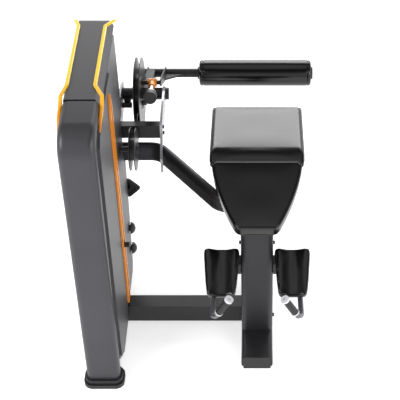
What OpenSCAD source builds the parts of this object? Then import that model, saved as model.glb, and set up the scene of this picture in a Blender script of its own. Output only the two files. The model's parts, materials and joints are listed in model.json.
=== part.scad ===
// Prone leg curl machine with a side tower and a selectorised weight stack.
// Working frame of every module: X from the bench's middle plane, Y from the front of
// the tower's foot towards the roller, Z up from the floor, in millimetres.

/* [Overall] */
// Length from the tower's front foot to the back of the roller
overall_l = 1516; // [1500:1:1540]
// Width from the tower's foot to the end of the roller
overall_w = 1107.5; // [1100:0.5:1112]
// Height of the trim strips at the tower's rear end
overall_h = 1500; // [1495:1:1505]

/* [Tower] */
// Width of the flat-oval upright, which is the tower's thickness
tower_w = 155; // [150:1:158]
// Depth of the flat-oval upright
upright_d = 78; // [70:1:80]
// Rise of the tower's top line towards the rear, in degrees
top_slope = 3.2; // [2.5:0.1:3.5]
// Number of weight plates that stay down
plate_count = 15; // [8:1:16]

/* [Bench] */
// Width of the bench post and base tube
post_w = 150; // [140:1:152]
// Length of the base tube on the floor
base_l = 600; // [560:10:640]

/* [Pads] */
// Width of the thigh pad
thigh_pad_w = 440; // [400:5:450]
// Width of the chest pad at its wide end
chest_pad_w = 420; // [390:5:430]
// Width of the chest pad at its narrow end
chest_tip_w = 205; // [180:5:220]

/* [Lever] */
// Outer radius of the cam wheel's rims
cam_rim_r = 180; // [170:1:182]
// Radius at which the belt lies on the cam wheel
cam_r = 100; // [98:1:102]
// Outer radius of the ankle roller
roller_r = 68; // [60:1:68]

/* [Hidden] */
$fn = 64;
skin = 4;                       // thickness of covers and shrouds
panel = 9;                      // how far the inner shroud's raised panel stands out
wall = 3;                       // wall of the frame tubes
fit = 0.08;                     // running clearance on a radius
gap = 0.5;                      // clearance between faces that pass each other
foot_h = 22;
foot_w = 190;
roller_end = 290;                             // end of the roller from the middle plane

tower_out = -(overall_w - roller_end - (foot_w - tower_w) / 2);   // outer face of the tower
tower_in = tower_out + tower_w;              // face towards the bench
tower_mid = (tower_out + tower_in) / 2;
shroud_x = tower_in - 6;                     // back of the inner shroud
upright_y = 20;                              // front face of the upright
bend_c = [upright_y + 115, 1337];            // centre of the upright's top bend
bend_r = 115 - upright_d / 2;
bend_straight = 140;                         // straight tail after the bend
rear_y = 820;                                // front face of the rear upright
rear_d = 45;
rear_w = 100;
base_z = 48;                                 // underside of the tower's base tube
base_top = 100;

pivot = [1119, 918];
reach_dir = [cos(-15.9), sin(-15.9)];        // lever arm at rest, in the Y-Z plane
reach = 342.1;                               // pivot to roller
roller_c = pivot + reach * reach_dir;
axle_r = 12.5;
hub_r = 30;
wheel_x = -598;                              // left rim of the cam wheel
wheel_w = 30;
belt_w = 20;
belt_t = 2;

transfer_c = [720, 874];
transfer_r = 56;
transfer_rim_r = 103;
drum_r = 66;
pulley_r = 40;
pulley_z = 1300;
stack_y = 468;
front_pulley_c = [stack_y + pulley_r, pulley_z];
rear_pulley_c = [transfer_c[0] - drum_r - pulley_r, pulley_z];

plate_l = 300;
plate_w = 100;
plate_t = 20;
plate_pitch = 22;
stack_z = 150;
rod_r = 10;
rod_dy = 115;
head_z = stack_z + plate_count * plate_pitch;
head_t = 30;
hanger_z = 1190;

left_plate_x = tower_mid + rear_w / 2;       // bearing plate on the rear upright
right_plate_x = -465;
side_plate_t = 11;
plate_8 = 8;
crossbar_y = [860, 900];
crossbar_z = [835, 907];
floor_bar_y = [430, 510];
floor_bar_z = [20, 120];

base_y = 130;
base_tube_h = 65;
post_y = [310, 400];
beam_drop = 90;                              // pad surface to the beam's top
chest_y = [237, 606];
chest_z = [800, 893];
thigh_y = [611, 1104];
thigh_z = [908, 858];
pad_t = 62;
board_t = 15;

chest_slope = atan2(chest_z[1] - chest_z[0], chest_y[1] - chest_y[0]);
thigh_slope = atan2(thigh_z[1] - thigh_z[0], thigh_y[1] - thigh_y[0]);

// ---------- helpers ----------

// Rounded rectangle, centred
module rr(w, h, r) {
  square([w - 2 * r, h], center = true);
  square([w, h - 2 * r], center = true);
  for (sx = [-1, 1], sy = [-1, 1]) translate([sx * (w / 2 - r), sy * (h / 2 - r)]) circle(r);
}

module rr_tube(w, h, r, t) {
  difference() {
    rr(w, h, r);
    rr(w - 2 * t, h - 2 * t, r - t);
  }
}

// A drawing in the Y-Z plane, made t thick towards +X from x
module side_on(x, t) {
  translate([x, 0, 0]) rotate([90, 0, 90]) linear_extrude(t) children();
}

// A body of revolution about a line along X, through c in the Y-Z plane
module about(c, x) {
  translate([x, c[0], c[1]]) rotate([90, 0, 90]) children();
}

module box(lo, hi) {
  translate(lo) cube(hi - lo);
}

function arc(c, r, a0, a1, n) = [for (i = [0:n]) let (a = a0 + (a1 - a0) * i / n) c + r * [cos(a), sin(a)]];
function bez(p0, p1, p2, n) = [for (i = [0:n]) let (t = i / n)
  (1 - t) * (1 - t) * p0 + 2 * t * (1 - t) * p1 + t * t * p2];
function unit(v) = v / norm(v);
function rev(v) = [for (i = [len(v) - 1:-1:0]) v[i]];

// A polyline in space with its inner corners rounded to radius r
function bend(pts, r, n) = [
  for (i = [0:len(pts) - 1])
    if (i == 0 || i == len(pts) - 1) pts[i]
    else let (
      a = unit(pts[i - 1] - pts[i]), b = unit(pts[i + 1] - pts[i]),
      half = acos(max(-1, min(1, a * b))) / 2,
      c = pts[i] + unit(a + b) * r / sin(half),
      f = pts[i] + a * r / tan(half) - c,
      g = pts[i] + b * r / tan(half) - c,
      total = 180 - 2 * half
    )
      for (k = [0:n]) c + (f * sin(total * (1 - k / n)) + g * sin(total * k / n)) / sin(total)
];

function tangents(p) = [for (i = [0:len(p) - 1])
  unit(i == 0 ? p[1] - p[0] : i == len(p) - 1 ? p[i] - p[i - 1] : unit(p[i + 1] - p[i]) + unit(p[i] - p[i - 1]))];

// Points of a stadium section, w along the side direction and h along the up direction
function stadium(w, h, n) = let (r = min(w, h) / 2, dx = w / 2 - r, dy = h / 2 - r)
  [for (q = [0:3], i = [0:n]) let (a = 90 * q + 90 * i / n)
    [(q == 0 || q == 3 ? dx : -dx) + r * cos(a), (q < 2 ? dy : -dy) + r * sin(a)]];

// A closed solid of one section swept along a path, narrowed by tip over its first and last steps
module sweep(path, section, tip = 1) {
  t = tangents(path);
  m = len(section);
  n = len(path);
  pts = [for (i = [0:n - 1]) let (s = unit(cross(t[i], [0, 0, 1])), u = cross(s, t[i]), k = i == 0 || i == n - 1 ? tip : 1)
    for (q = section) path[i] + (s * q[0] + u * q[1]) * k];
  faces = concat(
    [[for (j = [0:m - 1]) j]],
    [for (i = [0:n - 2], j = [0:m - 1]) let (k = (j + 1) % m)
      [i * m + j, (i + 1) * m + j, (i + 1) * m + k, i * m + k]],
    [[for (j = [m - 1:-1:0]) (n - 1) * m + j]]
  );
  polyhedron(pts, faces);
}

module bolt_head(r, h) {
  cylinder(r = r, h = h, $fn = 6);
}

// ---------- tower frame ----------

module front_upright() {
  color([0.30, 0.30, 0.32]) {
    translate([tower_mid, upright_y + upright_d / 2, foot_h])
      linear_extrude(bend_c[1] - foot_h) rr_tube(tower_w, upright_d, 28, wall);
    about(bend_c, tower_mid) rotate([0, 0, 90 + top_slope]) {
      rotate_extrude(angle = 90 - top_slope) translate([bend_r, 0]) rr_tube(upright_d, tower_w, 28, wall);
      translate([bend_r, 0, 0]) rotate([90, 0, 0]) linear_extrude(bend_straight) rr_tube(upright_d, tower_w, 28, wall);
    }
  }
}

module rear_upright() {
  color([0.16, 0.16, 0.17]) translate([tower_mid, rear_y + rear_d / 2, foot_h])
    linear_extrude(1373 - foot_h) rr_tube(rear_w, rear_d, 8, wall);
}

module tower_base_tube() {
  color([0.16, 0.16, 0.17]) difference() {
    box([tower_mid - 50, upright_y + upright_d, base_z], [tower_mid + 50, rear_y, base_top]);
    box([tower_mid - 47, upright_y + upright_d - 1, base_z + wall], [tower_mid + 47, rear_y + 1, base_top - wall]);
  }
}

module tower_top_tube() {
  y0 = bend_c[0] + bend_straight - 1.5;
  color([0.16, 0.16, 0.17]) difference() {
    box([tower_mid - 40, y0, 1373], [tower_mid + 40, rear_y + rear_d, 1408]);
    box([tower_mid - 37, y0 - 1, 1376], [tower_mid + 37, rear_y + rear_d - wall, 1405]);
  }
}

module foot_block(w, d, r, y) {
  translate([tower_mid, y + d / 2, 0]) linear_extrude(foot_h) rr(w, d, r);
}

module front_foot() {
  color([0.05, 0.05, 0.05]) {
    foot_block(foot_w, 122, 42, 0);
    translate([tower_mid, upright_y + upright_d / 2, foot_h]) linear_extrude(24)
      difference() {
        rr(tower_w + 20, upright_d + 24, 38);
        rr(tower_w + gap, upright_d + gap, 28);
      }
  }
}

module rear_foot() {
  color([0.05, 0.05, 0.05]) foot_block(124, 80, 22, rear_y - 18);
}

// ---------- bearing plates and cross members ----------

module lobe(c, r) {
  translate(c) circle(r);
}

// Plate on the rear upright that carries the pivot's inner end and the transfer shaft
module inner_bearing_plate() {
  color([0.55, 0.56, 0.57]) side_on(left_plate_x, plate_8) difference() {
    union() {
      polygon([
        [672, 820], [760, 700], [930, 700], [960, 780], pivot + [22, -62], pivot + [0, 62],
        [930, 962], [700, 962], [672, 930]
      ]);
      lobe(pivot, 62);
    }
    lobe(pivot, axle_r + fit);
    lobe(transfer_c, axle_r + fit);
  }
}

module outer_bearing_plate() {
  color([0.16, 0.16, 0.17]) side_on(tower_mid - rear_w / 2 - plate_8, plate_8) difference() {
    polygon([[660, 820], [865, 820], [865, 930], [660, 930]]);
    lobe(transfer_c, axle_r + fit);
  }
}

module pivot_crossbar() {
  color([0.17, 0.17, 0.18]) difference() {
    box([left_plate_x + plate_8, crossbar_y[0], crossbar_z[0]], [right_plate_x, crossbar_y[1], crossbar_z[1]]);
    box([left_plate_x + plate_8 + 3, crossbar_y[0] + wall, crossbar_z[0] + wall],
        [right_plate_x - 6, crossbar_y[1] - wall, crossbar_z[1] - wall]);
    for (z = [853, 889]) translate([right_plate_x - 7, 880, z]) rotate([0, 90, 0]) cylinder(r = 5.1, h = 9);
  }
}

// Boomerang plate at the crossbar's free end, from the pivot down beside the support tube
module pivot_side_plate() {
  color([0.55, 0.56, 0.57]) side_on(right_plate_x, side_plate_t) difference() {
    union() {
      lobe(pivot, 46);
      polygon(concat(
        [pivot + [0, 36]],
        bez([1000, 956], [900, 945], [840, 925], 6),
        bez([836, 880], [804, 822], [762, 780], 6),
        [[766, 698], [788, 698], [796, 806], [905, 826]],
        bez([912, 838], [940, 846], [990, 850], 4),
        [pivot + [0, -38]]
      ));
    }
    lobe(pivot, axle_r + fit);
    for (z = [853, 889]) lobe([880, z], 5.1);
  }
}

module floor_crossbar() {
  color([0.20, 0.20, 0.21]) difference() {
    box([tower_mid + 50, floor_bar_y[0], floor_bar_z[0]], [-post_w / 2, floor_bar_y[1], floor_bar_z[1]]);
    box([tower_mid + 49, floor_bar_y[0] + wall, floor_bar_z[0] + wall],
        [-post_w / 2 - 3, floor_bar_y[1] - wall, floor_bar_z[1] - wall]);
  }
}

// ---------- bench ----------

module bench_base_tube() {
  color([0.22, 0.22, 0.23]) difference() {
    translate([0, base_y + 24, 10 + base_tube_h / 2]) rotate([-90, 0, 0])
      linear_extrude(base_l - 48) rr_tube(post_w, base_tube_h, 22, wall);
    box([-post_w / 2 - 1, 0, -1], [post_w / 2 + 1, 1000, 9]);
  }
}

module base_end_caps() {
  color([0.06, 0.06, 0.06]) {
    for (y = [base_y, base_y + base_l - 24])
      translate([0, y, 0]) {
        translate([0, 0, 10 + base_tube_h / 2]) rotate([-90, 0, 0]) linear_extrude(24) rr(post_w, base_tube_h, 22);
        translate([0, 12, 0]) linear_extrude(14) square([post_w - 20, 24], center = true);
      }
  }
}

// The front beam's own frame, level with the chest pad
module on_front_beam() {
  translate([0, post_y[0], 655]) rotate([chest_slope, 0, 0]) children();
}

module bench_post() {
  z0 = 10 + base_tube_h;
  color([0.28, 0.28, 0.30]) difference() {
    translate([0, (post_y[0] + post_y[1]) / 2, z0])
      linear_extrude(700) rr_tube(post_w, post_y[1] - post_y[0], 26, wall);
    on_chest() translate([-200, -100, -pad_t - board_t - 8.3]) cube([400, 400, 300]);
    on_front_beam() translate([-40.2, 60, -0.2]) cube([80.4, 330, 80]);
  }
}

// Beam under the pads: a sloped front half on the post and a level rear half
module bench_beam() {
  color([0.20, 0.20, 0.21]) {
    on_front_beam() translate([-40, 20, 0]) difference() {
      cube([80, 310, 60]);
      translate([3, 3, 3]) cube([74, 304, 54]);
    }
    translate([0, thigh_y[0] + 40, 736]) rotate([thigh_slope, 0, 0])
      translate([-40, 0, 0]) difference() {
        cube([80, 390, 60]);
        translate([3, 3, 3]) cube([74, 384, 54]);
      }
  }
}

support_path = [[left_plate_x + plate_8, 860, 755], [-475, 860, 755], [-176, 520, 708], [-40.4, 520, 708]];

// Flat-oval tube from the tower to the bench beam
module support_tube() {
  p = bend(support_path, 90, 7);
  color([0.24, 0.24, 0.25]) difference() {
    sweep(p, stadium(50, 100, 4));
    sweep(concat([p[0] + [3, 0, 0]], [for (i = [1:len(p) - 2]) p[i]], [p[len(p) - 1] - [3, 0, 0]]), stadium(44, 94, 4));
  }
}

module wedge_pad_outline(w0, w1, y0, y1, r) {
  polygon(concat(
    [[-w0 / 2 + r, y0], [w0 / 2 - r, y0], [w0 / 2, y0 + r]],
    bez([w0 / 2, y0 + r], [w1 / 2 - 22, (y0 + y1) / 2], [w1 / 2, y1 - r], 6),
    [[w1 / 2 - r, y1], [-w1 / 2 + r, y1]],
    rev([for (p = bez([w0 / 2, y0 + r], [w1 / 2 - 22, (y0 + y1) / 2], [w1 / 2, y1 - r], 6)) [-p[0], p[1]]]),
    [[-w0 / 2, y0 + r]]
  ));
}

pad_joint = (chest_y[1] + thigh_y[0]) / 2;                // where the two pads meet
chest_l = norm([chest_y[1] - chest_y[0], chest_z[1] - chest_z[0]]);
thigh_l = norm([thigh_y[1] - thigh_y[0], thigh_z[1] - thigh_z[0]]);

// The chest pad's own plane: origin at the narrow end's top edge
module on_chest() {
  translate([0, chest_y[0], chest_z[0]]) rotate([chest_slope, 0, 0]) children();
}

module on_thigh() {
  translate([0, thigh_y[0], thigh_z[0]]) rotate([thigh_slope, 0, 0]) children();
}

module chest_pad() {
  color([0.03, 0.03, 0.03]) difference() {
    on_chest() translate([0, 0, -pad_t]) linear_extrude(pad_t) wedge_pad_outline(chest_tip_w, chest_pad_w, 0, chest_l, 18);
    box([-300, pad_joint - 1.5, 700], [300, pad_joint + 100, 1000]);
  }
}

module chest_pad_board() {
  color([0.10, 0.09, 0.08]) on_chest() translate([0, 0, -pad_t - board_t])
    linear_extrude(board_t) wedge_pad_outline(chest_tip_w - 24, chest_pad_w - 24, 12, chest_l - 12, 18);
}

module thigh_pad() {
  color([0.35, 0.35, 0.36]) difference() {
    on_thigh() translate([0, thigh_l / 2, -pad_t]) linear_extrude(pad_t) rr(thigh_pad_w, thigh_l, 16);
    box([-300, pad_joint - 100, 700], [300, pad_joint + 1.5, 1000]);
  }
}

module thigh_pad_board() {
  color([0.10, 0.09, 0.08]) on_thigh() translate([0, thigh_l / 2, -pad_t - board_t])
    linear_extrude(board_t) rr(thigh_pad_w - 24, thigh_l - 24, 16);
}

// A flat channel under a pad board, with a web of height h down to the beam
module pad_bracket(w, y, h) {
  translate([-w / 2, y, -pad_t - board_t - 8]) cube([w, 40, 8]);
  translate([-38, y, -pad_t - board_t - 8 - h]) cube([76, 40, h]);
}

module pad_brackets() {
  color([0.45, 0.45, 0.47]) {
    on_chest() for (y = [95, 290]) pad_bracket(180, y, bracket_chest);
    on_thigh() for (y = [80, 370]) pad_bracket(300, y, bracket_thigh);
  }
}
// Height of the brackets' webs, from the beam's top to the bracket plate
chest_top_at_beam = (655 - chest_z[0]) * cos(chest_slope) - (post_y[0] - chest_y[0]) * sin(chest_slope) + 60;
bracket_chest = -chest_top_at_beam - pad_t - board_t - 8;
thigh_top_at_beam = (736 - thigh_z[0]) * cos(thigh_slope) - 40 * sin(thigh_slope) + 60;
bracket_thigh = -thigh_top_at_beam - pad_t - board_t - 8;

// ---------- elbow pads and handles ----------

elbow_c = [163, 228, 545];           // middle of the right pad's surface
elbow_l = 238;
elbow_pitch = 24;                    // pad falls this much towards the front

module elbow_outline() {
  polygon(concat(
    [[-64, -elbow_l / 2], [64, -elbow_l / 2]],
    bez([64, -elbow_l / 2], [80, 0], [84, elbow_l / 2], 6),
    bez([84, elbow_l / 2], [0, elbow_l / 2 - 8], [-84, elbow_l / 2], 6),
    bez([-84, elbow_l / 2], [-80, 0], [-64, -elbow_l / 2], 6)
  ));
}

module on_elbow(side) {
  translate([side * elbow_c[0], elbow_c[1], elbow_c[2]]) rotate([elbow_pitch, 0, 0]) children();
}

// A cushion hollowed along its length to cradle a forearm
module elbow_pad(side) {
  color([0.10, 0.10, 0.11]) on_elbow(side) difference() {
    translate([0, 0, -34]) linear_extrude(42) offset(r = 18) offset(delta = -18) elbow_outline();
    translate([0, -elbow_l, 112]) rotate([-90, 0, 0]) cylinder(r = 118, h = 2 * elbow_l, $fn = 96);
  }
}

module left_elbow_pad() { elbow_pad(-1); }
module right_elbow_pad() { elbow_pad(1); }

// A tray under each pad, and an arm back to the post
module elbow_brackets() {
  color([0.25, 0.25, 0.26]) for (side = [-1, 1]) {
    on_elbow(side) {
      translate([0, 0, -42]) linear_extrude(8) square([104, 190], center = true);
      translate([-52, -95, -80]) cube([8, 190, 38]);
      translate([44, -95, -80]) cube([8, 190, 38]);
    }
    difference() {
      box([side > 0 ? post_w / 2 : -160, 322, 440], [side > 0 ? 160 : -post_w / 2, 388, 500]);
      on_elbow(side) translate([-100, -300, -42]) cube([200, 400, 200]);
    }
  }
}

function handle_path(side) = [
  [side * 198, 215, 430], [side * 203, 98, 392], [side * 186, 70, 416], [side * 128, 54, 530]
];

module handle(side) {
  color([0.55, 0.55, 0.56]) sweep(bend(handle_path(side), 18, 5), stadium(25, 25, 3));
}

module left_handle() { handle(-1); }
module right_handle() { handle(1); }

function grip_axis(side) = unit(handle_path(side)[3] - handle_path(side)[2]);

// A round piece set on the handle's end, at distance d before its tip
module on_grip(side, d) {
  a = grip_axis(side);
  translate(handle_path(side)[3] - d * a)
    rotate([0, acos(a[2]), atan2(a[1], a[0])]) children();
}

module handle_grips() {
  color([0.12, 0.12, 0.13]) for (side = [-1, 1]) on_grip(side, 96) difference() {
    cylinder(r = 17, h = 96);
    translate([0, 0, -1]) cylinder(r = 13.2, h = 98);
  }
}

module handle_end_caps() {
  color([0.85, 0.85, 0.86]) for (side = [-1, 1]) {
    on_grip(side, 0) difference() {
      cylinder(r = 20, h = 12);
      translate([0, 0, 4]) cylinder(r = 8, h = 10);
    }
    on_grip(side, 103) difference() {
      cylinder(r = 19, h = 6.5);
      translate([0, 0, -1]) cylinder(r = 13.2, h = 9);
    }
  }
}

// ---------- covers ----------

// The height of the tower's top surface at y
function top_z(y) = overall_h - 8.2 - (850 - y) * tan(top_slope);

rear_end = 885;
shoulder = [rear_end - 40, top_z(rear_end - 40) - 40];    // centre of the cover's rear rounding
cover_y = bend_c[0] + bend_straight + 4;                  // front end of the cover

function shroud_outline() = concat(
  [[100, 98], [190, 30], [770, 45], [800, 70]],
  bez([806, 90], [915, 760], [866, 1390], 14),
  arc([828, 1390], 38, 0, 86, 5),
  [[cover_y, top_z(cover_y) - 54], [277, 1376], [230, 1374], [140, 1372.5], [112, 1362], [100, 1337]]
);

module window_outline(m) {
  y0 = stack_y - 17 - m;
  y1 = stack_y + 17 + m;
  polygon([[y0, 150 - m], [y1, 150 - m], [y1, 1290], [stack_y + 4, 1345 + m], [stack_y - 4, 1345 + m], [y0, 1290]]);
}

// The cover's outer line across the tower, t inside its surface
module cover_section(t) {
  polygon([
    [tower_out + 3 + t, -80], [tower_out + 3 + t, -8], [tower_out + 9 + t / 2, -t],
    [tower_in - 19 - t / 2, -t], [tower_in - 1 - t, -48], [tower_in - 1 - t, -80]
  ]);
}

module cover_body(t) {
  intersection() {
    translate([0, rear_end, top_z(rear_end)]) rotate([top_slope, 0, 0]) rotate([90, 0, 0])
      linear_extrude(rear_end - cover_y) cover_section(t);
    side_on(tower_out, tower_w) polygon(concat(
      [[cover_y, 1340], [cover_y, 1520], [shoulder[0], 1520]],
      rev(arc(shoulder, 40 - t, 0, 86.8, 6)),
      [[rear_end - t, 1340]]
    ));
  }
}

// Sheet cover along the tower's top, bevelled towards the bench and rounded at the rear
module top_cover() {
  color([0.45, 0.45, 0.47]) difference() {
    cover_body(0);
    cover_body(skin);
    box([tower_out - 1, 0, 1300], [tower_in + 1, 1000, top_z(cover_y) - 50]);
    side_on(tower_out - 1, tower_w + 2) polygon([[cover_y - 1, top_z(cover_y) - 50], [rear_end + 1, top_z(rear_end) - 50],
      [rear_end + 1, 1300], [cover_y - 1, 1300]]);
  }
}

module inner_shroud() {
  color([0.42, 0.42, 0.44]) difference() {
    union() {
      side_on(shroud_x, skin) polygon(shroud_outline());
      side_on(shroud_x + skin, panel) difference() {
        polygon([[112, 110], [196, 48], [420, 52], [560, 360], [560, 1406], [290, 1392], [258, 1366], [150, 1362], [112, 1330]]);
        window_outline(12.5);
      }
    }
    side_on(shroud_x - 10, 40) window_outline(0);
    about(transfer_c, shroud_x - 10) cylinder(r = 22, h = 40);
    box([shroud_x - 10, floor_bar_y[0] - 1, 0], [shroud_x + 30, floor_bar_y[1] + 1, floor_bar_z[1] + 1]);
    box([shroud_x - 10, 829, 698], [shroud_x + 30, 1000, 964]);
  }
}

module outer_shroud() {
  color([0.42, 0.42, 0.44]) side_on(tower_out, skin) polygon(shroud_outline());
}

module rear_cover() {
  color([0.35, 0.35, 0.37]) for (z = [[100, 690], [970, 1380]])
    box([tower_out + skin, 866, z[0]], [left_plate_x - 1, 870, z[1]]);
}

trim_section = [[8, -4], [8, 1], [4, 4], [-4, 4], [-8, 1], [-8, -4]];

// Centre line of a trim strip: hooked down at both ends and drawn in by "inset" between them.
// Side is 1 for the strip towards the bench and -1 for the outer one.
function trim_path(side, edge, inset) = bend([
  [edge, 870, top_z(870) - 8],
  [edge, 850, top_z(850) + 4.2],
  [edge - side * inset, 806, top_z(806) + 4.2],
  [edge - side * inset, 372, top_z(372) + 4.2],
  [edge, 298, top_z(298) + 4.2],
  [edge, 262, top_z(262) - 22],
  [edge, 206, top_z(206) - 34],
  [edge, 150, top_z(150) - 66]
], 10, 3);

module trim_strips() {
  color([0.98, 0.78, 0.05]) {
    sweep(trim_path(1, tower_in + 8.4, 36), trim_section, 0.35);
    sweep(trim_path(-1, tower_out - 8.4, 17), trim_section, 0.35);
  }
}

module window_trim() {
  color([1.0, 0.55, 0.02]) side_on(shroud_x + skin + 0.1, panel + 9) difference() {
    window_outline(12);
    window_outline(2);
  }
}

// Round-headed knobs on the inner shroud, and a diamond-shaped bracket above them
module cover_fixings() {
  color([0.04, 0.04, 0.04]) for (p = [[790, 322], [780, 196]]) about(p, shroud_x + skin) {
    cylinder(r = 16, h = 8);
    translate([0, 0, 8]) intersection() {
      cylinder(r = 32, h = 24);
      translate([0, 0, -10]) sphere(r = 34);
    }
  }
  color([0.20, 0.20, 0.21]) translate([shroud_x + 8, 881, 515]) {
    rotate([90, 0, 0]) rotate([0, 0, 45]) difference() {
      linear_extrude(10) rr(86, 86, 12);
      translate([0, 0, 5]) linear_extrude(6) rr(58, 58, 8);
    }
    translate([skin - 8, -36, -14]) cube([12, 27, 28]);
  }
}

// ---------- weight stack ----------

module plate_shape(r_centre) {
  difference() {
    rr(plate_w, plate_l, 10);
    circle(r_centre);
    for (s = [-1, 1]) translate([0, s * rod_dy]) circle(rod_r + 2);
  }
}

module weight_plates() {
  color([0.12, 0.12, 0.13]) for (i = [0:plate_count - 1])
    translate([tower_mid, stack_y, stack_z + i * plate_pitch]) difference() {
      linear_extrude(plate_t) plate_shape(15);
      translate([0, 0, plate_t / 2]) rotate([0, 90, 0]) cylinder(r = 5.5, h = 60);
    }
}

module guide_rods() {
  color([0.8, 0.8, 0.82]) for (s = [-1, 1]) translate([tower_mid, stack_y + s * rod_dy, base_top])
    cylinder(r = rod_r, h = hanger_z - base_top);
}

module rod_bumpers() {
  color([0.05, 0.05, 0.05]) for (s = [-1, 1])
    translate([tower_mid, stack_y + s * rod_dy, base_top]) difference() {
      cylinder(r = 24, h = stack_z - base_top);
      translate([0, 0, -1]) cylinder(r = rod_r, h = 100);
    }
}

module head_plate() {
  color([0.10, 0.10, 0.11]) translate([tower_mid, stack_y, head_z]) difference() {
    union() {
      linear_extrude(head_t) plate_shape(14);
      for (s = [-1, 1]) translate([0, s * rod_dy, head_t]) cylinder(r = 17, h = 26);
    }
    for (s = [-1, 1]) translate([0, s * rod_dy, -1]) cylinder(r = rod_r + fit, h = 80);
    translate([0, 0, head_t / 2]) rotate([0, 90, 0]) cylinder(r = 5.5, h = 60);
  }
}

// The drilled rod that hangs through the stack
module selector_stem() {
  z0 = stack_z + 4;
  color([0.75, 0.75, 0.77]) translate([tower_mid, stack_y, 0]) difference() {
    union() {
      translate([0, 0, z0]) cylinder(r = 12, h = head_z - z0);
      translate([0, 0, head_z]) cylinder(r = 14, h = head_t);
      translate([0, 0, head_z + head_t]) cylinder(r = 19, h = 34);
    }
    for (i = [0:plate_count]) translate([-30, 0, stack_z + i * plate_pitch + (i == plate_count ? head_t : plate_t) / 2])
      rotate([0, 90, 0]) cylinder(r = 5.2, h = 60);
  }
}

module selector_pin() {
  color([0.05, 0.05, 0.05]) translate([tower_mid, stack_y, head_z + head_t / 2]) rotate([0, 90, 0]) {
    translate([0, 0, -12]) cylinder(r = 4.9, h = 102);
    translate([0, 0, 88]) cylinder(r = 13, h = 30);
  }
}

// ---------- belt drive ----------

// A belt wheel: two rims, a drum between them, and a bore for its own axle
module belt_wheel(rim, drum, w, bore) {
  side = (w - belt_w - 2) / 2;
  difference() {
    union() {
      cylinder(r = rim, h = side);
      cylinder(r = drum - belt_t / 2, h = w);
      translate([0, 0, w - side]) cylinder(r = rim, h = side);
    }
    translate([0, 0, -1]) cylinder(r = bore, h = w + 2);
  }
}

module cam_wheel() {
  color([0.10, 0.10, 0.11]) about(pivot, wheel_x) difference() {
    belt_wheel(cam_rim_r, cam_r, wheel_w, hub_r);
    for (a = [30:60:330]) rotate(a) translate([66, 0, -1]) cylinder(r = 20, h = wheel_w + 2);
  }
  // Studs on the wheel's face towards the bench
  color([0.10, 0.10, 0.11]) for (a = [200, 250]) about(pivot + 50 * [cos(a), sin(a)], wheel_x + wheel_w - 1) cylinder(r = 9, h = 21);
}

module transfer_wheel() {
  color([0.14, 0.14, 0.15]) {
    about(transfer_c, wheel_x) belt_wheel(transfer_rim_r, transfer_r, wheel_w, axle_r - 1);
    about(transfer_c, tower_mid - belt_w / 2 - 6) belt_wheel(drum_r + 10, drum_r, belt_w + 12, axle_r - 1);
    about(transfer_c, tower_mid - rear_w / 2 - plate_8 - 4) cylinder(r = axle_r, h = wheel_x + wheel_w + 6 - tower_mid + rear_w / 2 + plate_8 + 4);
    about(transfer_c, wheel_x + wheel_w) cylinder(r = 22, h = 10);
  }
}

module tower_pulley(c) {
  color([0.10, 0.10, 0.11]) about(c, tower_mid - belt_w / 2 - 6) belt_wheel(pulley_r + 6, pulley_r, belt_w + 12, 10 + fit);
}

module front_pulley() { tower_pulley(front_pulley_c); }
module rear_pulley() { tower_pulley(rear_pulley_c); }

// Box hanger under the top tube, with the pulleys' axles and a floor that ends the guide rods
module pulley_bracket() {
  x0 = tower_mid - 34;
  y0 = stack_y - rod_dy - 24;
  y1 = rear_pulley_c[0] + pulley_r + 20;
  color([0.5, 0.5, 0.52]) {
    for (x = [x0, x0 + 62]) box([x, y0, hanger_z], [x + 6, y1, 1373]);
    difference() {
      box([x0, y0, hanger_z], [x0 + 68, y1, hanger_z + 8]);
      for (y = [stack_y, rear_pulley_c[0] + pulley_r]) box([tower_mid - 15, y - 8, hanger_z - 1], [tower_mid + 15, y + 8, hanger_z + 9]);
    }
    for (c = [front_pulley_c, rear_pulley_c]) about(c, x0 + 3) cylinder(r = 10, h = 62);
  }
}

// Tangent points of the belt on the undersides of the cam and transfer wheels
belt_vec = pivot - transfer_c;
belt_len = norm(belt_vec);
belt_dir = atan2(belt_vec[1], belt_vec[0]);
belt_lean = acos((transfer_r - cam_r) / belt_len);
belt_normal = [cos(belt_dir - belt_lean), sin(belt_dir - belt_lean)];
cam_touch = pivot + cam_r * belt_normal;
transfer_touch = transfer_c + transfer_r * belt_normal;

function ribbon(line, t) = let (k = len(line),
  n = [for (i = [0:k - 1]) let (d = unit(line[min(i + 1, k - 1)] - line[max(i - 1, 0)])) [-d[1], d[0]]])
  concat([for (i = [0:k - 1]) line[i] + n[i] * t / 2], [for (i = [k - 1:-1:0]) line[i] - n[i] * t / 2]);

// Belt from the cam wheel, between the two cross members, onto the transfer wheel
module cam_belt() {
  mid = wheel_x + wheel_w / 2;
  color([0.04, 0.04, 0.04]) side_on(mid - belt_w / 2, belt_w) polygon(ribbon([
    cam_touch + [0, 0.3], transfer_touch + [0, 0.3]], belt_t - 0.8));
}

// Belt from the drum up over the two tower pulleys
module stack_belt() {
  r = pulley_r + 0.3;
  color([0.04, 0.04, 0.04]) side_on(tower_mid - belt_w / 2, belt_w) polygon(ribbon(concat(
    [[transfer_c[0] - drum_r + 0.3, transfer_c[1]]],
    arc(rear_pulley_c, r, 0, 90, 8),
    arc(front_pulley_c, r, 90, 180, 8)
  ), 1.2));
}

// Belt run that shortens as the weights rise
module lift_belt() {
  color([0.04, 0.04, 0.04]) side_on(tower_mid - belt_w / 2, belt_w)
    polygon([[stack_y - 0.9, head_z + head_t + 34], [stack_y + 0.3, head_z + head_t + 34],
             [stack_y + 0.3, pulley_z - 1], [stack_y - 0.9, pulley_z - 1]]);
}

// ---------- lever ----------

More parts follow.
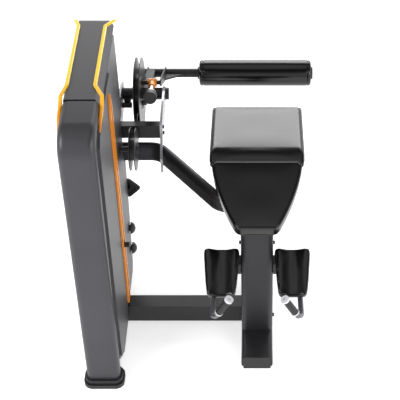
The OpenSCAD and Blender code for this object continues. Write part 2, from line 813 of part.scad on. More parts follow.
module pivot_axle() {
  x0 = left_plate_x - 12;
  x1 = right_plate_x + side_plate_t;
  color([0.10, 0.10, 0.11]) {
    about(pivot, x0) cylinder(r = 24, h = 11.5);
    about(pivot, x0 + 1) cylinder(r = axle_r, h = x1 + 3 - x0);
    about(pivot, x1 + 0.3) cylinder(r = 30, h = 17);
  }
}

hub_x0 = left_plate_x + plate_8 + 1;
hub_x1 = right_plate_x - 1;

// Hub tube on the axle, with the lug that meets the rest stop
module lever_hub() {
  color([0.10, 0.10, 0.11]) {
    about(pivot, hub_x0) difference() {
      cylinder(r = hub_r, h = hub_x1 - hub_x0);
      translate([0, 0, -1]) cylinder(r = axle_r + fit, h = hub_x1 - hub_x0 + 2);
    }
    side_on(hub_x0 + 6, 30) difference() {
      translate(pivot) polygon([[-29, -2], [-37.5, -30], [-37.5, -46], [-20, -60], [5, -56], [16, -20]]);
      lobe(pivot, hub_r - 3);
    }
  }
}

stop_c = pivot + [-52, -34];

// Fixed rubber-faced peg that the hub's lug rests on
module rest_stop() {
  color([0.05, 0.05, 0.05]) about(stop_c, left_plate_x + plate_8) cylinder(r = 13.5, h = 46);
}

arm_x = wheel_x + wheel_w + 2;
arm_w = 36;

// Anything laid out along the arm: local x runs from the pivot to the roller, local z along the pivot
module on_arm(x = 0) {
  about(pivot, x) rotate(atan2(reach_dir[1], reach_dir[0])) children();
}

module lever_arm() {
  color([0.10, 0.10, 0.11]) difference() {
    on_arm(arm_x) linear_extrude(arm_w) translate([0, -25]) square([reach, 50]);
    on_arm(arm_x + wall) translate([hub_r + 8, -22, 0]) cube([reach - hub_r - 38, 44, arm_w - 2 * wall]);
    about(pivot, arm_x - 1) cylinder(r = hub_r, h = arm_w + 2);
    about(roller_c, arm_x - 1) cylinder(r = tube_r, h = arm_w + 2);
  }
}

cheek_t = 6;
cheek_x = [arm_x - cheek_t, -480];
tube_r = 23.5;
tube_x0 = -600;
pad_x0 = -301;
pad_x1 = roller_end - 8;

// Where the cross rod sits, above the hub
rod_c = pivot + [30, 46];
cross_r = 11;

module cross_rod() {
  color([0.10, 0.10, 0.11]) about(rod_c, wheel_x + wheel_w) cylinder(r = cross_r, h = cheek_x[1] - wheel_x - wheel_w);
}

// Two cheek plates that hold the roller tube; the longer one reaches back to the cross rod
module cheek_plates() {
  color([0.12, 0.12, 0.13]) {
    on_arm(cheek_x[0]) linear_extrude(cheek_t) difference() {
      union() {
        translate([cam_rim_r + 8, -27]) square([reach - cam_rim_r - 8, 54]);
        translate([reach, 0]) circle(34);
      }
      translate([reach, 0]) circle(tube_r);
    }
    side_on(cheek_x[1], cheek_t) difference() {
      union() {
        lobe(roller_c, 34);
        lobe(rod_c, 19);
        polygon([rod_c + [4, 19], roller_c + [9, 33], roller_c + [-12, -32], rod_c + [-7, -18]]);
      }
      lobe(roller_c, tube_r);
    }
  }
}

handle_dir = 171.7;                  // which way the adjuster handle points in the Y-Z plane
handle_x = -518;
stem_r = 12;

module on_handle() {
  about(rod_c, handle_x) rotate(handle_dir) rotate([0, 90, 0]) children();
}

// Bright sleeve on the cross rod, with the socket that the handle slides in
module adjuster_sleeve() {
  color([1.0, 0.55, 0.02]) difference() {
    union() {
      about(rod_c, handle_x - 21) cylinder(r = 21, h = 42);
      on_handle() cylinder(r = 17, h = 50);
    }
    about(rod_c, handle_x - 30) cylinder(r = cross_r, h = 60);
    on_handle() translate([0, 0, 24]) cylinder(r = stem_r + fit, h = 40);
  }
}

module adjuster_handle() {
  color([0.10, 0.10, 0.11]) on_handle() {
    translate([0, 0, 26]) cylinder(r = stem_r, h = 124);
    translate([0, 0, 138]) cylinder(r = 33, h = 38);
  }
}

// Roller tube with its collar and end cap, and the gusset that stiffens it
module roller_tube() {
  color([0.12, 0.12, 0.13]) {
    difference() {
      union() {
        about(roller_c, tube_x0) cylinder(r = tube_r, h = pad_x1 - tube_x0);
        on_arm(cheek_x[1] + cheek_t) translate([0, 4, 0]) rotate([90, 0, 0])
          linear_extrude(8) polygon([[reach - 18, 0], [reach - 18, 104], [reach - 118, 0]]);
      }
      about(roller_c, tube_x0 - 1) cylinder(r = tube_r - wall, h = pad_x1 - tube_x0 - 8);
    }
    about(roller_c, pad_x0 - 8) difference() {
      cylinder(r = 33, h = 7);
      translate([0, 0, -1]) cylinder(r = tube_r - 1, h = 9);
    }
    about(roller_c, pad_x1) cylinder(r = 33, h = 8);
  }
}

module roller_pad() {
  color([0.04, 0.04, 0.04]) about(roller_c, pad_x0) difference() {
    union() {
      cylinder(r = roller_r - 8, h = pad_x1 - pad_x0 - 1);
      translate([0, 0, 10]) cylinder(r = roller_r, h = pad_x1 - pad_x0 - 21);
    }
    translate([0, 0, -1]) cylinder(r = tube_r + fit, h = 700);
  }
}

module frame_bolts() {
  color([0.06, 0.06, 0.06]) {
    for (z = [853, 889]) translate([right_plate_x + side_plate_t, 880, z]) rotate([0, 90, 0]) {
      translate([0, 0, -16]) cylinder(r = 5, h = 16);
      bolt_head(9, 7);
    }
    for (s = [-1, 1]) for (z = [140, 610]) translate([s * post_w / 2, 355, z]) rotate([0, s * 90, 0]) bolt_head(9, 8);
  }
}

module place() {
  translate([overall_w / 2 - roller_end, -overall_l / 2, 0]) children();
}

place() front_upright();
place() rear_upright();
place() tower_base_tube();
place() tower_top_tube();
place() front_foot();
place() rear_foot();
place() inner_bearing_plate();
place() outer_bearing_plate();
place() pivot_crossbar();
place() pivot_side_plate();
place() floor_crossbar();
place() bench_base_tube();
place() base_end_caps();
place() bench_post();
place() bench_beam();
place() support_tube();
place() top_cover();
place() inner_shroud();
place() outer_shroud();
place() rear_cover();
place() trim_strips();
place() window_trim();
place() cover_fixings();
place() guide_rods();
place() rod_bumpers();
place() weight_plates();
place() pulley_bracket();
place() chest_pad_board();
place() chest_pad();
place() thigh_pad_board();
place() thigh_pad();
place() pad_brackets();
place() left_elbow_pad();
place() right_elbow_pad();
place() elbow_brackets();
place() left_handle();
place() right_handle();
place() handle_grips();
place() handle_end_caps();
place() pivot_axle();
place() rest_stop();
place() frame_bolts();
place() cam_belt();
place() stack_belt();
place() lift_belt();
place() head_plate();
place() selector_stem();
place() selector_pin();
place() lever_hub();
place() cam_wheel();
place() lever_arm();
place() cross_rod();
place() adjuster_sleeve();
place() cheek_plates();
place() roller_tube();
place() roller_pad();
place() adjuster_handle();
place() transfer_wheel();
place() front_pulley();
place() rear_pulley();
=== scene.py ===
# %% [markdown]
# # A prone leg curl machine
# The machine's steel frame, covers, wheels and lever come from the CAD model. This script gives every one
# of them a finish, upholsters the cushions, and lights and frames the machine in a plain studio.

# %% Load the frame
import json
import math

import bmesh
import bpy
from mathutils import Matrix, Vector
from mathutils.kdtree import KDTree


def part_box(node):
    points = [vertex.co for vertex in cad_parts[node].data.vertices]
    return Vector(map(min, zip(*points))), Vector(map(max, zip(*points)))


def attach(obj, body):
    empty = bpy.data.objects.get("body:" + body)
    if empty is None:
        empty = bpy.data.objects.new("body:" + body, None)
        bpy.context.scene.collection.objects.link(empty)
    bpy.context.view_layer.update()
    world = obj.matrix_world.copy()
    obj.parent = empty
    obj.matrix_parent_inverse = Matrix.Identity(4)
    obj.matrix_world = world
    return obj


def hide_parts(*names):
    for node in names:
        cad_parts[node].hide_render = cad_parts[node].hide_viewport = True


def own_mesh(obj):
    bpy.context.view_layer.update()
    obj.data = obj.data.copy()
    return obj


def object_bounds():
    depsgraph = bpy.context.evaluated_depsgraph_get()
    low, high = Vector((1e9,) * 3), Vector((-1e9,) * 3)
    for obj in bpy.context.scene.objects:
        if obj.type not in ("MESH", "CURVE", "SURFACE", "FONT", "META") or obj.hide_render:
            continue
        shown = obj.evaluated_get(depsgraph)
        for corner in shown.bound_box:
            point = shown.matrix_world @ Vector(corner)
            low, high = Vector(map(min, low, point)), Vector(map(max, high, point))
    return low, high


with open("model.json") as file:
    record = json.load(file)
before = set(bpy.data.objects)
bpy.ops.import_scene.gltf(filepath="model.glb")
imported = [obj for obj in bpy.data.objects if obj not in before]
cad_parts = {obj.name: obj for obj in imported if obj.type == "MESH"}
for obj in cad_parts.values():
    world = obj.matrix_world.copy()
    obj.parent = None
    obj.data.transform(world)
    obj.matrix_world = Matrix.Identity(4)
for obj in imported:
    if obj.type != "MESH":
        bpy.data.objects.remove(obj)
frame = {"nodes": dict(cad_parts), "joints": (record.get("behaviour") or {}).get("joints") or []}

cad_box = [list(corner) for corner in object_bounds()]
print("CAD box", cad_box)

# %% [markdown]
# ## Camera
# A long lens from well above and in front, so that the tall tower leans only a little. The camera stands on
# the bench's middle plane and is shifted sideways, as a product photographer does to keep verticals calm.

# %% Camera
CAMERA_HEIGHT = 4.14
CAMERA_DISTANCE = 3.62          # from the front of the machine
CAMERA_PITCH = 39.5             # degrees below the horizon
pad_low, pad_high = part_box("thigh_pad")
bench_x = (pad_low.x + pad_high.x) / 2
camera_data = bpy.data.cameras.new("camera")
camera_data.lens = 103.5
camera_data.shift_x = -0.1425
camera = bpy.data.objects.new("camera", camera_data)
camera.location = (bench_x, cad_box[0][1] - CAMERA_DISTANCE, CAMERA_HEIGHT)
camera.rotation_euler = (math.radians(90 - CAMERA_PITCH), 0, 0)
bpy.context.scene.collection.objects.link(camera)
bpy.context.scene.camera = camera
bpy.context.scene.view_settings.view_transform = "Standard"     # keeps the trims' full saturation

# %% [markdown]
# ## Studio
# A pale floor, a sky that is bright round the horizon and darker overhead, and three soft boxes. The bright
# horizon is what shows on the thigh pad's top, and the dark top of the sky keeps the chest pad black.

# %% Floor
FLOOR_SIZE = 40
FLOOR_DROP = 0.0005             # keeps the floor from flickering against the feet
bpy.ops.object.select_all(action="DESELECT")
bpy.ops.mesh.primitive_plane_add(size=FLOOR_SIZE, location=(0, 0, -FLOOR_DROP))
floor = bpy.context.object
floor.name = "studio_floor"


# %% Soft boxes
def soft_box(name, place, aim, size, power):
    light = bpy.data.lights.new(name, "AREA")
    light.shape = "RECTANGLE"
    light.size, light.size_y = size
    light.energy = power
    lamp = bpy.data.objects.new(name, light)
    lamp.location = place
    lamp.rotation_euler = (Vector(aim) - Vector(place)).to_track_quat("-Z", "Y").to_euler()
    bpy.context.scene.collection.objects.link(lamp)
    return lamp


MIDDLE = (0, 0, 0.6)             # half-way up the machine
soft_box("key", (-3.2, -2.6, 3.6), MIDDLE, (2.4, 2.4), 130)
soft_box("fill", (3.4, -2.4, 2.6), MIDDLE, (2.5, 2.0), 60)
soft_box("back", (0.3, 4.2, 3.0), (0, 0.2, 0.8), (4.4, 2.4), 130)


# %% [markdown]
# ## Finishes
# Shader arithmetic reads best as plain Python. `Value` wraps a socket and turns +, -, * and > into Math
# nodes, and `Finish` builds a material and adds any other node through one method.

# %% Shader helpers
class Value:
    """A shader socket that can be used in Python expressions."""

    def __init__(self, finish, socket):
        self.finish, self.socket = finish, socket

    def _math(self, operation, first, second):
        return self.finish.node("Math", {"operation": operation}, {0: first, 1: second})

    def __add__(self, other):
        return self._math("ADD", self, other)

    def __rsub__(self, other):
        return self._math("SUBTRACT", other, self)

    def __mul__(self, other):
        return self._math("MULTIPLY", self, other)

    def __gt__(self, other):
        return self._math("GREATER_THAN", self, other)


class Finish:
    """One procedural material."""

    def __init__(self, name):
        self.material = bpy.data.materials.new(name)
        self.material.use_nodes = True
        self.nodes = self.material.node_tree.nodes
        self.links = self.material.node_tree.links
        self.nodes.clear()
        self.output = self.nodes.new("ShaderNodeOutputMaterial")
        self.place = self.node("TexCoord", output="Object")

    def node(self, kind, settings=None, inputs=None, output=0):
        made = self.nodes.new("ShaderNode" + kind)
        for key, value in (settings or {}).items():
            if key == "stops":
                ramp = made.color_ramp
                while len(ramp.elements) < len(value):
                    ramp.elements.new(0.5)
                for element, (position, shade) in zip(ramp.elements, value):
                    element.position, element.color = position, (*shade, 1)
            else:
                setattr(made, key, value)
        for key, value in (inputs or {}).items():
            if isinstance(value, Value):
                self.links.new(value.socket, made.inputs[key])
            else:
                made.inputs[key].default_value = value
        return Value(self, made.outputs[output])

    def noise(self, scale, detail=3.0, roughness=0.5):
        return self.node("TexNoise", {}, {"Vector": self.place, "Scale": scale, "Detail": detail,
                                          "Roughness": roughness})

    def cells(self, scale):
        return self.node("TexVoronoi", {"feature": "DISTANCE_TO_EDGE"}, {"Vector": self.place, "Scale": scale})

    def axis(self, name):
        return self.node("SeparateXYZ", {}, {0: self.place}, output=name)

    def fade(self, value, low, high):
        return self.node("MapRange", {"clamp": True}, {"Value": value, "From Min": low, "From Max": high})

    def mix(self, factor, first, second):
        mixed = self.node("Mix", {"data_type": "RGBA"}, {0: factor}, output=2)
        for index, shade in ((6, first), (7, second)):
            socket = mixed.socket.node.inputs[index]
            if isinstance(shade, Value):
                self.links.new(shade.socket, socket)
            else:
                socket.default_value = (*shade, 1)
        return mixed

    def bump(self, height, strength, distance):
        return self.node("Bump", {}, {"Height": height, "Strength": strength, "Distance": distance})

    def surface(self, **inputs):
        named = {key.replace("_", " "): value for key, value in inputs.items()}
        shader = self.node("BsdfPrincipled", {}, named)
        self.links.new(shader.socket, self.output.inputs["Surface"])
        return self.material


# %% [markdown]
# ## Paints
# Powder coat is a sprayed plastic film with a fine orange-peel skin. A high-frequency noise lifts the
# surface by hundredths of a millimetre, a broad one drifts the tone, and handled parts are a little shinier.

# %% Powder coat
def powder_coat(name, shade, roughness, metallic, peel=0.12, drift=0.12, scuff=0.0):
    finish = Finish(name)
    broad = finish.noise(2.2, 4.0)
    fine = finish.noise(950, 2.0)
    scratches = finish.noise(38, 8.0, 0.72)
    worn = finish.fade(scratches, 0.63, 0.72) * scuff
    light = tuple(channel * (1 + drift) for channel in shade)
    dark = tuple(channel * (1 - drift) for channel in shade)
    tone = finish.mix(finish.fade(broad, 0.3, 0.7), dark, light)
    pale = tuple(min(channel * 1.8 + 0.03, 1) for channel in shade)
    return finish.surface(
        Base_Color=finish.mix(worn, tone, pale),
        Roughness=finish.fade(broad, 0.2, 0.8) * 0.08 + (roughness - 0.04) + worn * 0.1,
        Metallic=metallic,
        Specular_IOR_Level=0.5,
        Normal=finish.bump(fine + scratches * 0.25, peel, 0.0004),
    )


frame_coat = powder_coat("graphite_coat", (0.062, 0.061, 0.068), 0.42, 0.5)
bench_coat = powder_coat("bench_coat", (0.028, 0.028, 0.032), 0.42, 0.4)
cover_coat = powder_coat("cover_coat", (0.08, 0.08, 0.086), 0.45, 0.45, drift=0.08)
top_coat = powder_coat("top_cover_coat", (0.075, 0.075, 0.08), 0.46, 0.4, drift=0.08)
bar_coat = powder_coat("crossbar_coat", (0.011, 0.011, 0.0125), 0.36, 0.2)
black_coat = powder_coat("lever_coat", (0.022, 0.022, 0.025), 0.38, 0.3, scuff=0.25)
dull_coat = powder_coat("hidden_coat", (0.03, 0.03, 0.032), 0.55, 0.2)
plate_coat = powder_coat("plate_coat", (0.42, 0.42, 0.44), 0.34, 0.6, scuff=0.2)
grip_tube_coat = powder_coat("grip_tube_coat", (0.16, 0.16, 0.17), 0.3, 0.7, scuff=0.3)

# %% [markdown]
# ## Plastics and rubber
# The trims are glossy injection mouldings whose colour runs from orange at the front to yellow at the rear.
# Feet, stops and grips are rubber: matt, faintly mottled, with moulding grain.


# %% Plastics
def moulded(name, shade, roughness, grain=700, depth=0.2, coat=0.0):
    finish = Finish(name)
    cloud = finish.noise(6, 3.0)
    skin = finish.noise(grain, 3.0)
    dark = tuple(channel * 0.82 for channel in shade)
    return finish.surface(
        Base_Color=finish.mix(cloud, dark, shade),
        Roughness=cloud * 0.12 + (roughness - 0.06),
        Coat_Weight=coat,
        Coat_Roughness=0.15,
        Normal=finish.bump(skin, depth, 0.0004),
    )


def running_trim(name, front, rear, y_front, y_rear):
    finish = Finish(name)
    along = finish.fade(finish.axis("Y"), y_front, y_rear)
    speck = finish.noise(300, 2.0)
    cloud = finish.noise(9, 2.0)
    return finish.surface(
        Base_Color=finish.mix(along, front, rear),
        Roughness=cloud * 0.12 + 0.22,
        Coat_Weight=0.35,
        Coat_Roughness=0.08,
        Normal=finish.bump(speck, 0.08, 0.0004),
    )


ORANGE = (1.0, 0.32, 0.008)
YELLOW = (1.0, 0.68, 0.010)
trim_low, trim_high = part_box("trim_strips")
trim_finish = running_trim("trim_gloss", ORANGE, YELLOW, trim_low.y + 0.02, trim_low.y + 0.30)
orange_finish = moulded("orange_gloss", ORANGE, 0.3, depth=0.06, coat=0.3)
foot_rubber = moulded("foot_rubber", (0.012, 0.012, 0.013), 0.5, depth=0.35)
black_plastic = moulded("black_plastic", (0.016, 0.016, 0.018), 0.36, depth=0.15)
wheel_plastic = moulded("wheel_plastic", (0.03, 0.03, 0.033), 0.34, depth=0.12)
belt_rubber = moulded("belt_rubber", (0.009, 0.009, 0.009), 0.6, grain=1800, depth=0.6)
stack_paint = moulded("stack_paint", (0.035, 0.035, 0.038), 0.45, grain=220, depth=0.4)
ring_plastic = moulded("ring_plastic", (0.78, 0.78, 0.80), 0.28, depth=0.06, coat=0.4)


# %% [markdown]
# ## Bright metal and plywood
# Rods and the adjuster's stem are plated steel, with faint turning marks round them. The cushion boards
# are plywood, so their edge shows plies: thin bands of light and dark stacked through the thickness.

# %% Bright metal
def plated(name, shade=(0.72, 0.72, 0.74), roughness=0.16):
    finish = Finish(name)
    marks = finish.noise(420, 6.0, 0.7)
    haze = finish.noise(14, 3.0)
    return finish.surface(
        Base_Color=shade + (1,),
        Metallic=1.0,
        Roughness=haze * 0.12 + (roughness - 0.05),
        Normal=finish.bump(marks, 0.08, 0.0002),
    )


def plated_stem_with_black_knob(name, knob_y):
    finish = Finish(name)
    on_stem = finish.axis("Y") > knob_y
    grain = finish.noise(600, 3.0)
    return finish.surface(
        Base_Color=finish.mix(on_stem, (0.03, 0.03, 0.033), (0.62, 0.60, 0.60)),
        Metallic=on_stem * 0.9,
        Roughness=0.42 - on_stem * 0.18,
        Normal=finish.bump(grain, 0.15, 0.0004),
    )


def plywood(name):
    finish = Finish(name)
    plies = finish.node("TexWave", {"bands_direction": "Z"}, {"Vector": finish.place, "Scale": 55, "Distortion": 1.5})
    fibres = finish.noise(160, 6.0)
    return finish.surface(
        Base_Color=finish.mix(plies, (0.018, 0.014, 0.011), (0.05, 0.037, 0.026)),
        Roughness=fibres * 0.2 + 0.5,
        Normal=finish.bump(fibres, 0.3, 0.0006),
    )


bright_steel = plated("plated_steel")
board_ply = plywood("board_ply")
knob_low, knob_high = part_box("adjuster_handle")
KNOB_LENGTH = 0.043
knob_finish = plated_stem_with_black_knob("adjuster_finish", knob_low.y + KNOB_LENGTH)

# %% [markdown]
# ## Vinyl
# Gym upholstery is black vinyl pressed with a leather grain: small rounded cells a millimetre or so across,
# over faint slow creases. It is quite shiny, so it mirrors the studio's bright horizon where it lies flat.


# %% Vinyl
def vinyl(name, shade=(0.0025, 0.0025, 0.003), roughness=0.17):
    finish = Finish(name)
    cells = finish.cells(620)
    small = finish.noise(1500, 2.0)
    creases = finish.noise(20, 5.0, 0.6)
    grain = finish.fade(cells, 0.0, 0.25) + small * 0.2
    rubbed = finish.fade(creases, 0.3, 0.8)
    pale = tuple(channel * 1.25 for channel in shade)
    return finish.surface(
        Base_Color=finish.mix(rubbed, shade, pale),
        Roughness=rubbed * 0.02 + (roughness - 0.01) + cells * 0.02,
        Specular_IOR_Level=0.5,
        Normal=finish.bump(grain + creases * 0.1, 0.08, 0.0005),
    )


pad_vinyl = vinyl("pad_vinyl")
roller_vinyl = vinyl("roller_vinyl", shade=(0.0015, 0.0015, 0.002), roughness=0.12)
thread = moulded("seam_thread", (0.02, 0.02, 0.022), 0.6, grain=1500, depth=0.5)

# %% [markdown]
# ## Dress the CAD nodes
# Each node takes one finish. The list is grouped by finish, so a change of mind is a change in one place.

# %% Assign finishes
finish_of = {
    "graphite_coat": (frame_coat, ["front_upright"]),
    "bench_coat": (bench_coat, ["bench_post", "bench_base_tube", "support_tube"]),
    "cover_coat": (cover_coat, ["inner_shroud", "outer_shroud"]),
    "top_cover_coat": (top_coat, ["top_cover"]),
    "crossbar_coat": (bar_coat, ["floor_crossbar", "pivot_crossbar", "bench_beam"]),
    "lever_coat": (black_coat, ["lever_hub", "lever_arm", "cross_rod", "cheek_plates", "roller_tube", "pivot_axle"]),
    "hidden_coat": (dull_coat, ["rear_upright", "tower_base_tube", "tower_top_tube", "outer_bearing_plate",
                                "pulley_bracket", "elbow_brackets", "pad_brackets", "rear_cover"]),
    "plate_coat": (plate_coat, ["pivot_side_plate", "inner_bearing_plate"]),
    "grip_tube_coat": (grip_tube_coat, ["left_handle", "right_handle"]),
    "trim_gloss": (trim_finish, ["trim_strips"]),
    "orange_gloss": (orange_finish, ["window_trim", "adjuster_sleeve"]),
    "foot_rubber": (foot_rubber, ["front_foot", "rear_foot", "base_end_caps", "rod_bumpers", "rest_stop",
                                  "handle_grips"]),
    "black_plastic": (black_plastic, ["cover_fixings", "frame_bolts", "selector_pin"]),
    "wheel_plastic": (wheel_plastic, ["cam_wheel", "transfer_wheel", "front_pulley", "rear_pulley"]),
    "belt_rubber": (belt_rubber, ["cam_belt", "stack_belt", "lift_belt"]),
    "stack_paint": (stack_paint, ["weight_plates", "head_plate"]),
    "ring_plastic": (ring_plastic, ["handle_end_caps"]),
    "plated_steel": (bright_steel, ["guide_rods", "selector_stem"]),
    "board_ply": (board_ply, ["chest_pad_board", "thigh_pad_board"]),
    "adjuster_finish": (knob_finish, ["adjuster_handle"]),
}
PADS = ["chest_pad", "thigh_pad", "left_elbow_pad", "right_elbow_pad", "roller_pad"]
for material, names in finish_of.values():
    for name in names:
        node = frame["nodes"][name]
        node.data.materials.clear()
        node.data.materials.append(material)
dressed = {name for _, names in finish_of.values() for name in names}
print("nodes without a finish:", sorted(set(frame["nodes"]) - dressed - set(PADS)))


# %% [markdown]
# ## Floor and sky
# The floor is matt white paper that glows a little, so that shadows on it stay faint. The sky's brightness
# depends only on the height above the horizon.

# %% Floor and sky finish
FLOOR_GLOW = 0.55
SKY_LEVELS = ((0.0, 1.0), (0.40, 0.9), (0.62, 0.24), (0.86, 0.05), (1.0, 0.03))    # (sine of elevation, level)
floor_finish = Finish("studio_paper")
fibre = floor_finish.noise(60, 3.0)
floor.data.materials.append(floor_finish.surface(
    Base_Color=floor_finish.mix(fibre, (0.90, 0.90, 0.90), (0.93, 0.93, 0.93)),
    Roughness=fibre * 0.05 + 0.85,
    Specular_IOR_Level=0.1,
    Emission_Color=(1, 1, 1, 1),
    Emission_Strength=FLOOR_GLOW,
))

world = bpy.data.worlds.new("studio_sky")
bpy.context.scene.world = world
world.use_nodes = True
sky = world.node_tree
sky.nodes.clear()
toward = sky.nodes.new("ShaderNodeTexCoord")
split = sky.nodes.new("ShaderNodeSeparateXYZ")
ramp = sky.nodes.new("ShaderNodeValToRGB")
glow = sky.nodes.new("ShaderNodeBackground")
sink = sky.nodes.new("ShaderNodeOutputWorld")
for position, level in SKY_LEVELS:
    stop = ramp.color_ramp.elements[0] if position == 0 else ramp.color_ramp.elements.new(position)
    stop.position, stop.color = position, (level, level, level, 1)
sky.links.new(toward.outputs["Generated"], split.inputs[0])
sky.links.new(split.outputs["Z"], ramp.inputs[0])
sky.links.new(ramp.outputs[0], glow.inputs["Color"])
glow.inputs["Strength"].default_value = 1.0
sky.links.new(glow.outputs[0], sink.inputs["Surface"])


# %% [markdown]
# ## Cushions
# Each cushion is foam on a board under a tight vinyl cover. A cover is sewn from a top panel and a sloping
# border panel, so there is a seam round the top and another round the sides, and the foam swells between
# the seams. The shape starts from the cushion's CAD solid, its upper edges are cut back into the border, and
# a short cloth simulation with air pressure inside pushes the panels out while the seams are held.

# %% Helpers for editing
def only(piece):
    bpy.ops.object.select_all(action="DESELECT")
    piece.select_set(True)
    bpy.context.view_layer.objects.active = piece


def pick_edges(piece, wanted):
    """In edit mode, selects just the edges for which wanted(edge) is true."""
    mesh = bmesh.from_edit_mesh(piece.data)
    mesh.normal_update()
    for part in (*mesh.verts, *mesh.edges, *mesh.faces):
        part.select = False
    bpy.context.tool_settings.mesh_select_mode = (False, True, False)
    found = [edge for edge in mesh.edges if wanted(edge)]
    for edge in found:
        edge.select = True
    bmesh.update_edit_mesh(piece.data)
    return len(found)


def solid_copy(node, name):
    """A clean, closed copy of a CAD node with its flat faces merged."""
    piece = bpy.data.objects.new(name, frame["nodes"][node].data.copy())
    bpy.context.scene.collection.objects.link(piece)
    piece.data.materials.clear()
    only(piece)
    bpy.ops.object.mode_set(mode="EDIT")
    bpy.ops.mesh.select_all(action="SELECT")
    bpy.ops.mesh.remove_doubles(threshold=0.0002)
    bpy.ops.mesh.dissolve_limited(angle_limit=math.radians(2))
    bpy.ops.object.mode_set(mode="OBJECT")
    return piece


def apply_modifiers(piece):
    only(piece)
    for modifier in list(piece.modifiers):
        bpy.ops.object.modifier_apply(modifier=modifier.name)


# %% Helpers for sewing
SEAM_SPACING = 0.004
THREAD_RADIUS = 0.0016


def edge_points(edges):
    """Points along edges, a few millimetres apart."""
    points = []
    for start, end in edges:
        steps = max(1, int((end - start).length / SEAM_SPACING))
        points += [start.lerp(end, step / steps) for step in range(steps + 1)]
    return points


def seam_edges(piece, wanted):
    """The edges of a piece's low mesh for which wanted(edge) is true, as pairs of points."""
    mesh = bmesh.new()
    mesh.from_mesh(piece.data)
    mesh.normal_update()
    pairs = [(edge.verts[0].co.copy(), edge.verts[1].co.copy()) for edge in mesh.edges if wanted(edge)]
    mesh.free()
    return pairs


def welt(name, pairs, body):
    """A thin sewn thread that follows a seam."""
    mesh = bpy.data.meshes.new(name)
    points = [point for pair in pairs for point in pair]
    mesh.from_pydata(points, [(2 * i, 2 * i + 1) for i in range(len(pairs))], [])
    piece = bpy.data.objects.new(name, mesh)
    bpy.context.scene.collection.objects.link(piece)
    only(piece)
    bpy.ops.object.mode_set(mode="EDIT")
    bpy.ops.mesh.select_all(action="SELECT")
    bpy.ops.mesh.remove_doubles(threshold=0.0005)
    bpy.ops.object.mode_set(mode="OBJECT")
    bpy.ops.object.convert(target="CURVE")
    piece.data.bevel_depth = THREAD_RADIUS
    piece.data.bevel_resolution = 2
    bpy.ops.object.convert(target="MESH")
    piece.data.materials.clear()
    piece.data.materials.append(thread)
    bpy.ops.object.shade_smooth()
    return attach(piece, body)


# %% Helper for swelling
VOXEL = 0.005
PRESSURE = 4.0
SWELL_FRAMES = 20
STIFFNESS = 25
SEAM_REACH = 1.5 * VOXEL        # how far from a seam the cover is held


def swell(piece, seams, held_below, up, cap, calm=12):
    """Remeshes a cushion and blows it up between its seams and its board.

    No point moves further than cap, and calm is the number of smoothing passes at the end.
    """
    only(piece)
    remesh = piece.modifiers.new("even_skin", "REMESH")
    remesh.mode = "VOXEL"
    remesh.voxel_size = VOXEL
    apply_modifiers(piece)
    near = KDTree(len(seams))
    for index, point in enumerate(seams):
        near.insert(point, index)
    near.balance()
    group = piece.vertex_groups.new(name="held")
    start = [vertex.co.copy() for vertex in piece.data.vertices]
    for index, co in enumerate(start):
        if co.dot(up) < held_below or near.find(co)[2] < SEAM_REACH:
            group.add([index], 1.0, "REPLACE")
    cloth = piece.modifiers.new("cover", "CLOTH")
    cloth.settings.use_pressure = True
    cloth.settings.uniform_pressure_force = PRESSURE
    cloth.settings.vertex_group_mass = "held"
    cloth.settings.effector_weights.gravity = 0
    cloth.settings.tension_stiffness = STIFFNESS
    cloth.settings.compression_stiffness = STIFFNESS
    cloth.point_cache.frame_start = 1
    cloth.point_cache.frame_end = SWELL_FRAMES
    for number in range(1, SWELL_FRAMES + 1):
        bpy.context.scene.frame_set(number)
    apply_modifiers(piece)
    bpy.context.scene.frame_set(1)
    for vertex, rest in zip(piece.data.vertices, start):
        move = vertex.co - rest
        if move.length > cap:
            vertex.co = rest + move.normalized() * cap
    smooth = piece.modifiers.new("relax", "SMOOTH")
    smooth.factor, smooth.iterations = 0.5, calm
    finer = piece.modifiers.new("finer", "SUBSURF")
    finer.levels = finer.render_levels = 1
    apply_modifiers(piece)
    bpy.ops.object.shade_smooth()


# %% [markdown]
# ## Chest pad and thigh pad
# Both are flat-topped with a sloping border. The thigh pad's front end is also cut down in a long slope, so
# that the hips roll over it on to the chest pad.

# %% Bench pads
BORDER = 0.026


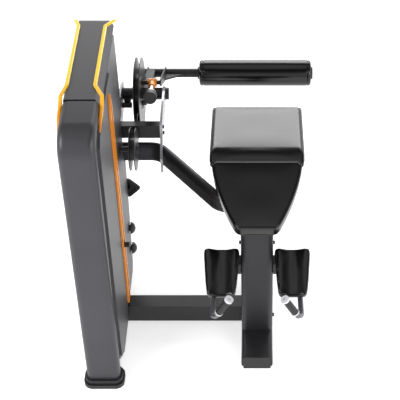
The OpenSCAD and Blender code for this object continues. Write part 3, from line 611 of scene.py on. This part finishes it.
def bench_pad(node, front_cut=None):
    piece = solid_copy(node, node + "_cushion")
    faces = piece.data.polygons
    top = max((face for face in faces if face.normal.z > 0.5), key=lambda face: face.area)
    up = top.normal.copy()
    level = top.center.dot(up)
    only(piece)
    bpy.ops.object.mode_set(mode="EDIT")
    if front_cut:
        back, down = front_cut
        along = Vector((0, up.z, -up.y))
        front = min(vertex.co.dot(along) for vertex in bmesh.from_edit_mesh(piece.data).verts)
        high = along * (front + back) + up * level
        low = along * front + up * (level - down)
        slope = high - low
        outward = Vector((0, -slope.z, slope.y)).normalized()
        bpy.ops.mesh.select_all(action="SELECT")
        bpy.ops.mesh.bisect(plane_co=high + Vector((bench_x, 0, 0)), plane_no=outward, use_fill=True,
                            clear_outer=True)

    def on_top(edge):
        return all(abs(vertex.co.dot(up) - level) < 0.0005 for vertex in edge.verts)

    pick_edges(piece, on_top)
    bpy.ops.mesh.bevel(offset=BORDER, segments=1, affect="EDGES", offset_type="OFFSET", clamp_overlap=True)
    bpy.ops.object.mode_set(mode="OBJECT")
    top_seam = seam_edges(piece, on_top)
    side_seam = seam_edges(piece, lambda edge: not on_top(edge) and len(edge.link_faces) == 2
                           and any(face.normal.dot(up) > 0.2 for face in edge.link_faces)
                           and any(abs(face.normal.dot(up)) < 0.1 for face in edge.link_faces))
    bottom = min(vertex.co.dot(up) for vertex in piece.data.vertices)
    soften = piece.modifiers.new("round", "BEVEL")
    soften.width, soften.segments, soften.limit_method = 0.006, 3, "ANGLE"
    soften.angle_limit = math.radians(20)
    apply_modifiers(piece)
    swell(piece, edge_points(top_seam + side_seam), bottom + 0.012, up, 0.006)
    piece.data.materials.append(pad_vinyl)
    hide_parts(node)
    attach(piece, "frame")
    welt(node + "_seam", side_seam, "frame")
    print(node, "cushion", len(piece.data.vertices), "points")
    return piece


bench_pad("chest_pad")
bench_pad("thigh_pad", front_cut=(0.075, 0.034))

# %% [markdown]
# ## Elbow pads
# Two short troughs that cradle the forearms. The hollow is already in the CAD solid, so the cover only needs
# rounded edges and a little swell.


# %% Elbow pads
def elbow_cushion(node):
    piece = solid_copy(node, node + "_cushion")
    sharp = math.radians(42)
    rim = seam_edges(piece, lambda edge: len(edge.link_faces) == 2 and edge.calc_face_angle(0) > sharp)
    bottom_face = min(piece.data.polygons, key=lambda face: face.normal.z * face.area)
    up = -bottom_face.normal
    soften = piece.modifiers.new("round", "BEVEL")
    soften.width, soften.segments, soften.limit_method = 0.011, 4, "ANGLE"
    soften.angle_limit = sharp
    apply_modifiers(piece)
    bottom = min(vertex.co.dot(up) for vertex in piece.data.vertices)
    swell(piece, edge_points(rim), bottom + 0.008, up, 0.003, calm=30)
    piece.data.materials.append(pad_vinyl)
    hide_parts(node)
    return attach(piece, "frame")


for side in ("left", "right"):
    elbow_cushion(side + "_elbow_pad")

# %% [markdown]
# ## Ankle roller
# A dense foam tube in a vinyl sleeve, gathered at each end by a sewn band. It is turned from a cylinder:
# rings are cut near the ends, the bands are pinched in, and the end rims are rounded.

# %% Ankle roller
roller_low, roller_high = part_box("roller_pad")
roller_centre = (roller_low + roller_high) / 2
roller_length = roller_high.x - roller_low.x
roller_radius = (roller_high.z - roller_low.z) / 2
BAND = 0.020
GROOVE = 0.0035
bpy.ops.object.select_all(action="DESELECT")
bpy.ops.mesh.primitive_cylinder_add(
    vertices=96, radius=roller_radius - 0.0005, depth=roller_length, location=roller_centre,
    rotation=(0, math.pi / 2, 0), end_fill_type="NGON")
roller = bpy.context.object
roller.name = "ankle_roller"
bpy.ops.object.transform_apply(location=True, rotation=True, scale=True)
bpy.ops.object.mode_set(mode="EDIT")
ring_places = []
for end, inward in ((roller_low.x, 1), (roller_high.x, -1)):
    ring_places += [end + inward * (BAND - 0.003), end + inward * BAND, end + inward * (BAND + 0.003)]
for x in ring_places:
    bpy.ops.mesh.select_all(action="SELECT")
    bpy.ops.mesh.bisect(plane_co=(x, 0, 0), plane_no=(1, 0, 0))
for x in (ring_places[1], ring_places[4]):
    pick_edges(roller, lambda edge: all(abs(vertex.co.x - x) < 0.0005 for vertex in edge.verts))
    squeeze = 1 - GROOVE / roller_radius
    bpy.ops.transform.resize(value=(1, squeeze, squeeze), center_override=(x, roller_centre.y, roller_centre.z))
for x in (roller_low.x, roller_high.x):
    pick_edges(roller, lambda edge: all(abs(vertex.co.x - x) < 0.0005 for vertex in edge.verts))
    bpy.ops.mesh.bevel(offset=0.014, segments=6, affect="EDGES")
bpy.ops.object.mode_set(mode="OBJECT")
crease = roller.modifiers.new("round", "BEVEL")
crease.width, crease.segments, crease.limit_method = 0.0012, 2, "ANGLE"
crease.angle_limit = math.radians(25)
apply_modifiers(roller)
bpy.ops.object.shade_smooth_by_angle(angle=math.radians(40))
roller.data.materials.append(roller_vinyl)
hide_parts("roller_pad")
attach(roller, "roller")

# %% [markdown]
# ## Lifting belt
# The belt run above the weights gets shorter as they rise, because the belt winds on to its drum. The run is
# copied from the CAD strip and hung on the frame; the lift joint's travel and the run's length are read, but the run
# does not shrink.

# %% Lifting belt
belt_low, belt_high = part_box("lift_belt")
run = solid_copy("lift_belt", "lift_belt_run")
run.data.materials.append(belt_rubber)
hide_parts("lift_belt")
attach(run, "frame")
lift = next(joint for joint in frame["joints"] if joint["name"] == "stack_lift")
travel = max(lift["range_m"])
full_length = belt_high.z - belt_low.z
1 - travel / full_length
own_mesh(run)
